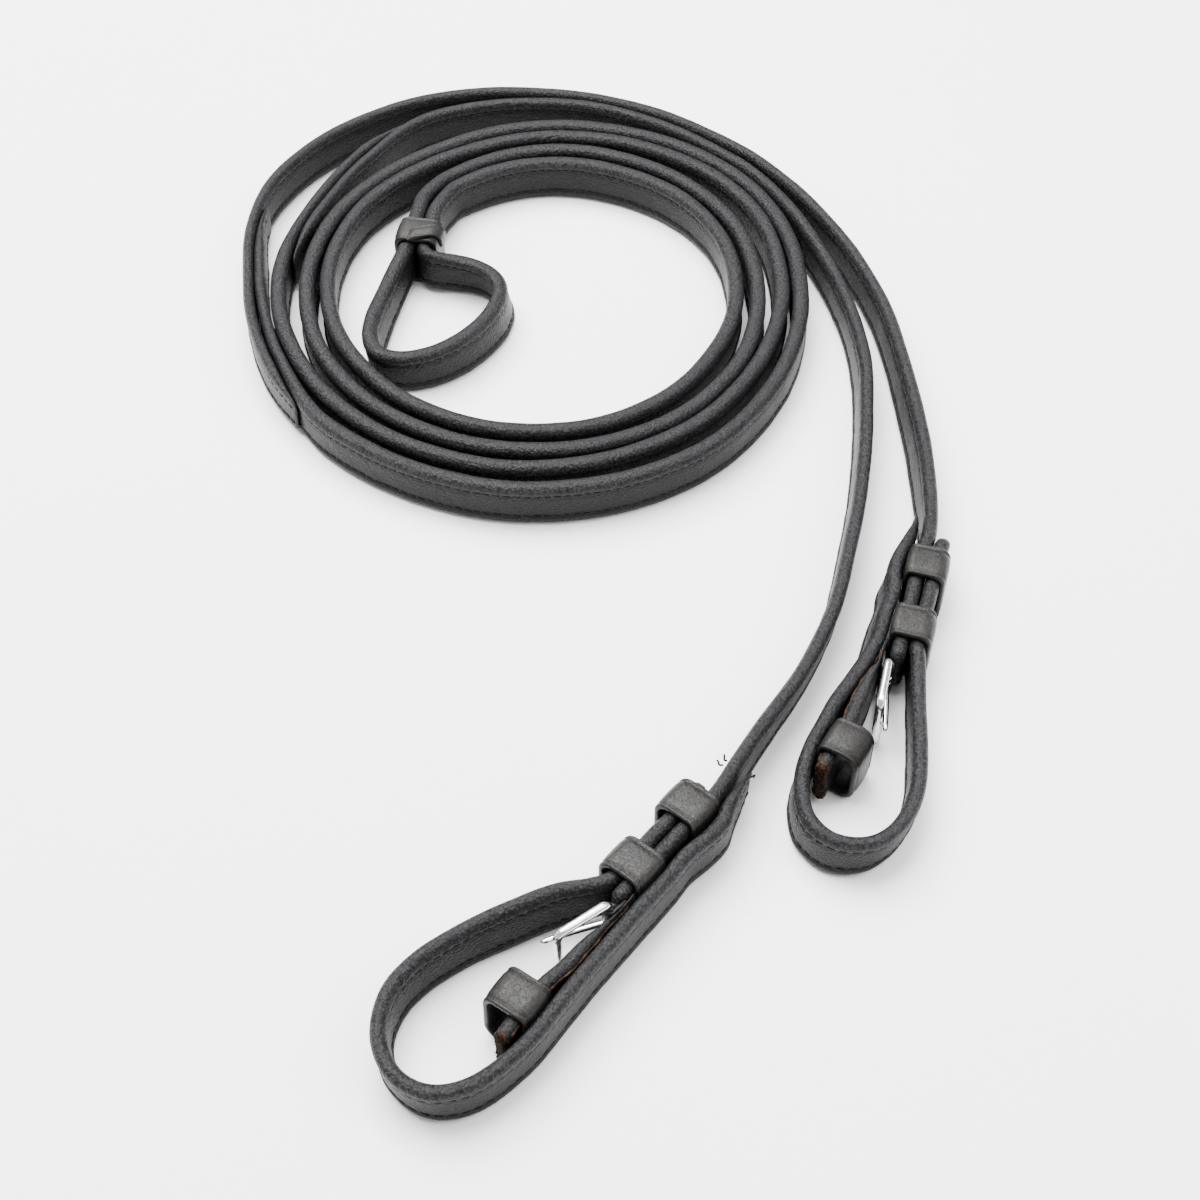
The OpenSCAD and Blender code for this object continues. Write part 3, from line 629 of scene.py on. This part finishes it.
def fold_point(u):
    """Point and turn in degrees of the tucked end at u mm: flat over the top, round the corner, down the side."""
    w, r, flat = SY + SLIDER_WALL, 2.8, 6.0
    arc = math.pi / 2 * r
    a = min(90, max(0, (u - flat) / arc * 90))
    drop = max(0, u - flat - arc)
    top = LIFT + H + SLIDER_PLAY + SLIDER_WALL + FOLD_GAP
    s, c = math.sin(math.radians(a)), math.cos(math.radians(a))
    y = -(w - r - flat + min(u, flat)) - (r + FOLD_GAP) * s
    z = top - r - FOLD_GAP - drop + (r + FOLD_GAP) * c
    return 0.42 * u - 4.2, y, z, a


verts = []
us = np.linspace(-0.8, 14, 34)
sec = [(-1, 0), (-1, 0.5), (-0.95, 0.85), (-0.85, 1.0), (-0.72, 1.0), (-0.66, 0.86), (-0.58, 1.0), (0, 1.22),
       (0.58, 1.0), (0.66, 0.86), (0.72, 1.0), (0.85, 1.0), (0.95, 0.85), (1, 0.5), (1, 0), (0, -0.05)]
for u in us:
    x, y, z, a = fold_point(u)
    s, c = math.sin(math.radians(a)), math.cos(math.radians(a))
    k = 1.15 * (0.4 + 0.6 * ease((u + 0.8) / 2.0)) * (0.5 + 0.5 * ease((14.4 - u) / 2))
    for w, hgt in sec:
        verts.append((x + w * 3.0, y - k * hgt * s, z + k * hgt * c))
faces = grid_faces(len(us), len(sec)) + end_caps(len(us), len(sec))
o = obj_from("slider_end_leather", to_world(slider_to_part(np.array(verts))), flip_faces(faces), MAT_KEEPER,
             body="slider", attrs={"bead": [0.0] * len(verts)})
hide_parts("slider_end")


# ---------------------------------------------------------------- buckles and chapes
def tube(path, rad, seg, closed=False):
    path = np.array(path, float)
    n = len(path)
    t = np.roll(path, -1, 0) - np.roll(path, 1, 0)
    if not closed:
        t[0], t[-1] = path[1] - path[0], path[-1] - path[-2]
    t /= np.linalg.norm(t, axis=1)[:, None]
    verts = []
    side = np.array([0, 1.0, 0])
    rad = np.broadcast_to(rad, (n,))
    for i in range(n):
        a = side - t[i] * np.dot(side, t[i])
        a /= np.linalg.norm(a)
        b = np.cross(t[i], a)
        for k in range(seg):
            w = 2 * math.pi * k / seg
            verts.append(path[i] + rad[i] * (a * math.cos(w) + b * math.sin(w)))
    faces = grid_faces(n, seg)
    faces += ring_join(n, seg) if closed else end_caps(n, seg)
    return np.array(verts), faces


def at_bar(side, p, deg):
    q = turn(np.array(p, float), deg)
    q[:, 0] += BARS[side][0]
    q[:, 1] += BARS[side][1]
    return end_to_part(side, q)


FL, Z0, Z1 = 16.2, 1.1, 19.1  # frame length, and heights of its two long sides
MID = 10.1  # height of the tongue
EYE_R = 1.45
TONGUE_SLOT = 1.7  # from the tongue's middle to the leather on each side
FIBRES = 90
for side in ("right", "left"):
    body = side + "_frame"
    loop = rounded_loop(0, FL, Z0, Z1, (2.4,) * 4, per=12)
    path = []
    for i in range(len(loop)):
        j = (i + 1) % len(loop)
        k = 6 if np.linalg.norm(loop[j] - loop[i]) > 3 else 1
        for s in range(k):
            p = loop[i] + (loop[j] - loop[i]) * s / k
            path.append((p[0], 0, p[1]))
    v, f = tube(path, [1.0 + 0.2 * ease(p[0] / 1.6) for p in path], 24, closed=True)
    o = obj_from(side + "_buckle_rod", to_world(at_bar(side, v, BARS[side][2])),
                 f if side == "right" else flip_faces(f), MAT_METAL, body=body)
    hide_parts(side + "_buckle_frame")
    # tongue: rolled eye, shaft with a slight arch, blunt tip resting past the rail
    ring = [(EYE_R * math.cos(a), EYE_R * math.sin(a)) for a in np.linspace(-0.35, -2 * math.pi + 0.45, 30)]
    verts = []
    sec = [(-1.3, 0.2), (-1.15, 0.32), (0, 0.36), (1.15, 0.32), (1.3, 0.2), (1.3, -0.2), (1.15, -0.34),
           (0, -0.37), (-1.15, -0.34), (-1.3, -0.2)]
    for x, y in ring:
        d = math.hypot(x, y)
        for z, e in sec:
            verts.append((x * (1 + e / d), y * (1 + e / d), MID + z))
    fr = grid_faces(len(ring), len(sec)) + end_caps(len(ring), len(sec))
    shaft = [(1.2 + s * (FL + 1.1), 0.18 * math.sin(math.pi * s), MID) for s in np.linspace(0, 1, 26)]
    rad = [0.92 - 0.1 * s + (-0.42 * ease((s - 0.93) / 0.07)) for s in np.linspace(0, 1, 26)]
    v2, f2 = tube(shaft, rad, 18)
    allv = np.concatenate([np.array(verts), v2])
    allf = fr + shifted(f2, len(verts))
    o = obj_from(side + "_buckle_pin", to_world(at_bar(side, allv, BARS[side][3])),
                 allf if side == "right" else flip_faces(allf), MAT_METAL, body=side + "_tongue")
    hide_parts(side + "_buckle_tongue")
    # chape fold: leather wrapped round the bar, slotted for the tongue
    verts, faces = [], []
    for z0, z1 in ((3.6, MID - TONGUE_SLOT), (MID + TONGUE_SLOT, 16.6)):
        pts = []
        for a in np.linspace(math.radians(200), math.radians(-110), 34):
            pts.append((math.cos(a) * 1.85, math.sin(a) * 1.85, math.cos(a) * 1.1, math.sin(a) * 1.1))
        pts.append((-1.6, -2.0, -1.7, -1.1))
        pts.append((-4.4, -2.2, -4.4, -1.5))
        rows = [(z0, 0), (z0 + 0.05, 0.8), (z0 + 0.35, 1), ((z0 + z1) / 2, 1.06), (z1 - 0.35, 1),
                (z1 - 0.05, 0.8), (z1, 0)]
        off = len(verts)
        for ox, oy, ix, iy in pts:
            for z, f in rows:
                verts.append((ix + (ox - ix) * f, iy + (oy - iy) * f, z))
        faces += shifted(grid_faces(len(pts), len(rows)) + end_caps(len(pts), len(rows)), off)
    o = obj_from(side + "_chape_fold_leather", to_world(at_bar(side, verts, 0)),
                 faces if side == "left" else flip_faces(faces), MAT_KEEPER,
                 attrs={"bead": [0.0] * len(verts)})
    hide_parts(side + "_chape_fold")
    # end strip, rolled like the reins where it is full thickness
    q, r = resample(run([(a, b, LIFT, 0, c, 1) for a, b, c in STRIPS[side]], 8), 0.8)
    t, n2 = frames(r)
    g = np.random.default_rng(77)
    verts, bead = [], []
    for i in range(len(q)):
        near = ease((q[-1] - q[i]) / 2.5)
        for a, v0 in SECTION:
            o2 = a * r[i, 4] / 2 + g.normal(0, 0.1) * (1 - near)
            dx = g.normal(0, 0.3) * (1 - near)
            verts.append((r[i, 0] + n2[i, 0] * o2 + t[i, 0] * dx, r[i, 1] + n2[i, 1] * o2 + t[i, 1] * dx,
                          LIFT + H * v0))
            # bead mask: the rolled edges are painted paler, partly wear and partly painted highlight
            bead.append(ease((max(v0, 1 - v0) - 0.745) / 0.1))
    m = len(SECTION)
    faces = grid_faces(len(q), m) + end_caps(len(q), m)
    o = obj_from(side + "_chape_strip_leather", to_world(end_to_part(side, np.array(verts))),
                 faces if side == "right" else flip_faces(faces), MAT_STRAP, attrs={"bead": bead})
    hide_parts(side + "_chape_strip")
    # brown line of raw leather where its layers meet, and the raw cut end
    line = [(r[i, 0] - n2[i, 0] * r[i, 4] * 0.47, r[i, 1] - n2[i, 1] * r[i, 4] * 0.47,
             LIFT + H - 1.7 + 0.25 * math.sin(q[i] * 0.7)) for i in range(4, len(q) - 2)]
    v, f = tube(line, [0.3 + 0.12 * math.sin(k * 0.9) for k in range(len(line))], 8)
    obj_from(side + "_raw_edge", to_world(end_to_part(side, v)), f, MAT_RAW,
             attrs={"bead": [0.8] * len(v)})
    verts = []
    # rings of the cut end: place along the strip, share of its thickness, share of its height
    for x, w, tall in ((-0.9, 1.03, 1.01), (-0.3, 1.03, 1.01), (0.25, 0.95, 0.97), (0.6, 0.7, 0.9)):
        for a, v0 in SECTION:
            o2 = a * r[-1, 4] / 2 * w + g.normal(0, 0.08)
            dx = x + g.normal(0, 0.22)
            verts.append((r[-1, 0] + t[-1, 0] * dx + n2[-1, 0] * o2, r[-1, 1] + t[-1, 1] * dx + n2[-1, 1] * o2,
                          LIFT + H / 2 + H * (v0 - 0.5) * tall))
    obj_from(side + "_cut_end", to_world(end_to_part(side, np.array(verts))), grid_faces(4, m) + end_caps(4, m),
             MAT_RAW, attrs={"bead": [0.45] * len(verts)})
    # fibres on the cut end
    V, F = [], []
    end, dirn, nn = r[-1], t[-1], n2[-1]
    for _ in range(FIBRES):
        a, z = g.uniform(-1, 1), g.uniform(0.03, 0.97)
        base = np.array([end[0] + nn[0] * a * end[4] * 0.4, end[1] + nn[1] * a * end[4] * 0.4, LIFT + z * H])
        d = np.array([dirn[0], dirn[1], 0]) + g.normal(0, 0.55, 3)
        d /= np.linalg.norm(d)
        L1 = g.uniform(0.5, 1.7)
        side1 = np.cross(d, [0, 0, 1.0]) + 1e-6
        side1 /= np.linalg.norm(side1)
        side2 = np.cross(d, side1)
        tip = base + d * L1 + g.normal(0, 0.15, 3)
        off = len(V)
        for w in range(3):
            an = w * 2.094
            V.append(base - d * 0.4 + 0.16 * (side1 * math.cos(an) + side2 * math.sin(an)))
        V.append(tip)
        F += [[off, off + 1, off + 3], [off + 1, off + 2, off + 3], [off + 2, off, off + 3]]
    obj_from(side + "_chape_fibres", to_world(end_to_part(side, np.array(V))), F, MAT_RAW,
             attrs={"bead": [1.0] * len(V)})

# loose thread ends at the sewn tip beside the left upper keeper
V, F = [], []
g = np.random.default_rng(5)
for k in range(4):
    p0 = np.array([-40.5 - 0.9 * k, -5.4 if k % 2 else 2.0, LIFT + H - 2.0])
    bend = g.uniform(-1, 1, 3)
    pts = [p0 + np.array([s * bend[0] + 0.5 * math.sin(3 * s), (-1 if k % 2 else 1) * s,
                          0.7 * s + 0.4 * s * bend[2]]) for s in np.linspace(0, 1.7, 9)]
    v, f = tube(pts, 0.3, 7)
    F += shifted(f, len(V))
    V += list(v)
obj_from("left_thread_ends", to_world(end_to_part("left", np.array(V))), F, MAT_THREAD)

# ---------------------------------------------------------------- floor, light
m, nt, bsdf = new_mat("pale_floor")
tc = node(nt, "ShaderNodeTexCoord")
nz = node(nt, "ShaderNodeTexNoise", Scale=6.0, Detail=3.0)
nt.links.new(tc.outputs["Object"], nz.inputs["Vector"])
nt.links.new(ramp(nt, nz.outputs["Fac"], [(0.3, (0.93, 0.93, 0.935)), (0.7, (0.95, 0.95, 0.955))]),
             bsdf.inputs["Base Color"])
bsdf.inputs["Roughness"].default_value = 0.8
me = bpy.data.meshes.new("floor")
me.from_pydata([(-4, -4, 0), (4, -4, 0), (4, 4, 0), (-4, 4, 0)], [], [(0, 1, 2, 3)])
me.materials.append(m)
floor = bpy.data.objects.new("floor", me)
floor.location = (0, 0, -0.0002)
scene.collection.objects.link(floor)

world = bpy.data.worlds.new("world")
world.use_nodes = True
bg = world.node_tree.nodes["Background"]
bg.inputs[0].default_value = (1, 1, 1, 1)
bg.inputs[1].default_value = 0.8
scene.world = world


def area(name, loc, target, size, power):
    d = bpy.data.lights.new(name, "AREA")
    d.size = size
    d.energy = power
    o = bpy.data.objects.new(name, d)
    o.location = loc
    v = Vector(target) - Vector(loc)
    o.rotation_euler = v.to_track_quat("-Z", "Y").to_euler()
    scene.collection.objects.link(o)


area("key", (-0.35, 0.5, 1.35), (0, 0, 0), 1.3, 128)
area("fill", (0.8, -0.1, 1.1), (0, 0, 0), 1.0, 22)
